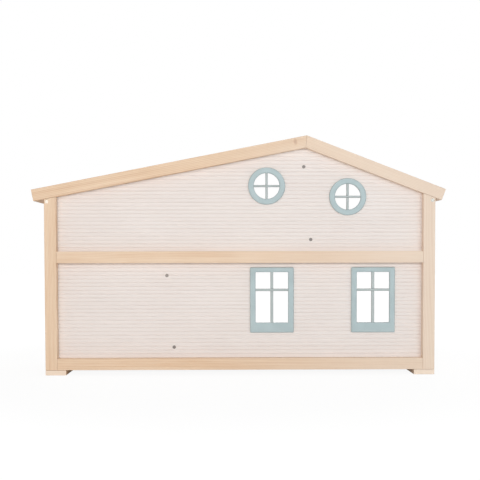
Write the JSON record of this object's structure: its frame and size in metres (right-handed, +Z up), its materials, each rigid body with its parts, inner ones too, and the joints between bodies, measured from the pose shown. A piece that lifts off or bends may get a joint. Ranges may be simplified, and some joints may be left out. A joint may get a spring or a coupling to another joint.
{
  "type": "wooden dollhouse",
  "caption": "Open-sided two-storey wooden dollhouse with partitioned rooms, doorways, a low gable roof, grooved back panels and let-in rectangular and round windows.",
  "frame": {"origin": "on the floor, under the middle of the whole house", "axes": "+X along the house's length, to the right when looking at the closed back; +Y from the closed back to the open play side; +Z up"},
  "size_m": [0.7417, 0.25, 0.429],
  "materials": {
    "pine": "planed pine with a clear matt finish",
    "panel_paint": "grooved sheet in pale washed rose-white paint",
    "window_paint": "satin pale grey-blue paint",
    "beech": "bare turned beech",
    "steel": "plain zinc-plated"
  },
  "bodies": {
    "root": {"left_side_wall": "pine", "right_side_wall": "pine", "base_board": "pine", "mid_floor": "pine", "roof_left": "pine", "roof_right": "pine", "left_foot_runner": "pine", "right_foot_runner": "pine", "lower_partition": "pine", "upper_partition": "pine", "lower_back_panel": "panel_paint", "upper_back_panel": "panel_paint", "left_rect_window_frame": "window_paint", "left_rect_window_upright_bar": "window_paint", "left_rect_window_cross_bar": "window_paint", "right_rect_window_frame": "window_paint", "right_rect_window_upright_bar": "window_paint", "right_rect_window_cross_bar": "window_paint", "left_round_window_frame": "window_paint", "left_round_window_upright_bar": "window_paint", "left_round_window_cross_bar": "window_paint", "right_round_window_frame": "window_paint", "right_round_window_upright_bar": "window_paint", "right_round_window_cross_bar": "window_paint", "floor_dowel_1": "beech", "floor_dowel_2": "beech", "floor_dowel_3": "beech", "floor_dowel_4": "beech", "floor_dowel_5": "beech", "floor_dowel_6": "beech", "floor_dowel_7": "beech", "floor_dowel_8": "beech", "eave_dowel_1": "beech", "eave_dowel_2": "beech", "eave_dowel_3": "beech", "eave_dowel_4": "beech", "ridge_dowel_1": "beech", "ridge_dowel_2": "beech", "partition_dowel_1": "beech", "partition_dowel_2": "beech", "partition_dowel_3": "beech", "partition_dowel_4": "beech", "partition_dowel_5": "beech", "partition_dowel_6": "beech", "back_panel_screw_1": "steel", "back_panel_screw_2": "steel", "back_panel_screw_3": "steel", "back_panel_screw_4": "steel", "wall_corner_screw_1": "steel", "wall_corner_screw_2": "steel", "runner_screw_1": "steel", "runner_screw_2": "steel", "runner_screw_3": "steel", "runner_screw_4": "steel", "runner_screw_5": "steel", "runner_screw_6": "steel", "runner_screw_7": "steel", "runner_screw_8": "steel"}
  },
  "joints": []
}
